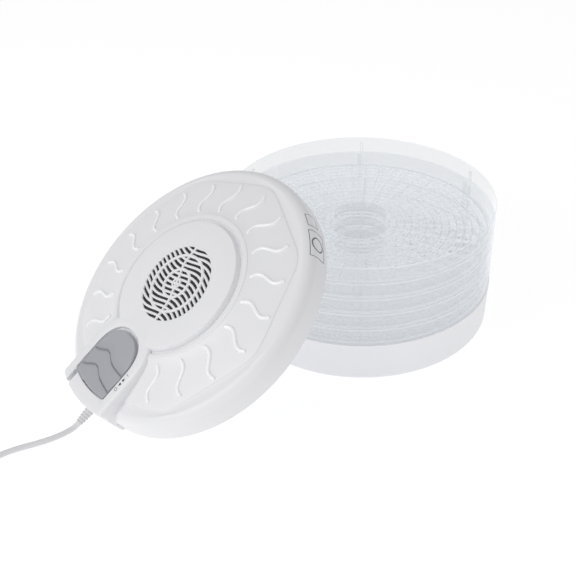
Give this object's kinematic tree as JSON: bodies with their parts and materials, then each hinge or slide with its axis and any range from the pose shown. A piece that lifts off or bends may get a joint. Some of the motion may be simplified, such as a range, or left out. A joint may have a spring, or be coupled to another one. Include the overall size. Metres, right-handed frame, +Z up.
{
  "type": "food dehydrator",
  "caption": "Round food dehydrator with stacked clear slotted trays on a white base, its fan and heater lid leaning against the stack, and a mains lead.",
  "frame": {"origin": "centre of the base's flat underside, on the table", "axes": "+Z up along the axis of the tray stack; the lid leans on the -X, -Y side"},
  "size_m": [0.6935, 0.5065, 0.2178],
  "materials": {
    "white_plastic": "satin moulded",
    "clear_plastic": "clear moulded plastic",
    "grey_plastic": "satin",
    "black_plastic": "matt",
    "screw_steel": "plated",
    "motor_iron": "laminated",
    "winding_copper": "enamelled wire",
    "bush_brass": "turned",
    "ceramic_cream": "unglazed ceramic",
    "shield_aluminium": "rolled sheet",
    "cord_rubber": "smooth jacket"
  },
  "bodies": {
    "base": {"base_bowl": "white_plastic"},
    "tray_1": {"tray_1": "clear_plastic"},
    "tray_2": {"tray_2": "clear_plastic"},
    "tray_3": {"tray_3": "clear_plastic"},
    "tray_4": {"tray_4": "clear_plastic"},
    "tray_5": {"tray_5": "clear_plastic"},
    "lid": {"lid_top_cover": "white_plastic", "lid_lower_cover": "white_plastic", "lid_screws": "screw_steel", "grille_panel": "white_plastic", "control_housing": "white_plastic", "switch_body": "black_plastic", "fan_shroud": "black_plastic", "motor_bracket": "screw_steel", "motor_stator": "motor_iron", "motor_winding": "winding_copper", "motor_bridge": "screw_steel", "lower_bush": "bush_brass", "upper_bush": "bush_brass", "heater_element": "screw_steel", "heater_saddles": "ceramic_cream", "heat_shield": "shield_aluminium", "thermostat": "black_plastic", "thermal_fuse": "shield_aluminium", "terminal_block": "ceramic_cream", "inner_lead": "cord_rubber", "cord_clamp": "black_plastic", "strain_relief": "cord_rubber", "cord": "cord_rubber", "cord_coil": "cord_rubber", "cord_tie": "black_plastic", "plug_body": "cord_rubber", "plug_pins": "bush_brass"},
    "switch": {"switch_cap": "grey_plastic", "switch_slider": "black_plastic"},
    "fan": {"motor_shaft": "screw_steel", "motor_rotor": "motor_iron", "fan_impeller": "black_plastic", "shaft_clip": "screw_steel"}
  },
  "joints": [
    {"name": "tray_1_lift", "type": "slide", "parent": "base", "child": "tray_1", "axis": [0, 0, 1], "range_m": [0, 0.06]},
    {"name": "tray_2_lift", "type": "slide", "parent": "tray_1", "child": "tray_2", "axis": [0, 0, 1], "range_m": [0, 0.06]},
    {"name": "tray_3_lift", "type": "slide", "parent": "tray_2", "child": "tray_3", "axis": [0, 0, 1], "range_m": [0, 0.06]},
    {"name": "tray_4_lift", "type": "slide", "parent": "tray_3", "child": "tray_4", "axis": [0, 0, 1], "range_m": [0, 0.06]},
    {"name": "tray_5_lift", "type": "slide", "parent": "tray_4", "child": "tray_5", "axis": [0, 0, 1], "range_m": [0, 0.06]},
    {"name": "lid_lift", "type": "slide", "parent": "tray_5", "child": "lid", "axis": [-0.5011, -0.3226, 0.803], "range_m": [0, 0.25]},
    {"name": "fan_spin", "type": "hinge", "parent": "lid", "child": "fan", "pos_m": [-0.21446, -0.15173, 0.13439], "axis": [-0.5011, -0.3226, 0.803], "continuous": true},
    {"name": "switch_slide", "type": "slide", "parent": "lid", "child": "switch", "axis": [0.6752, 0.4347, 0.5959], "range_m": [0, 0.004]}
  ]
}
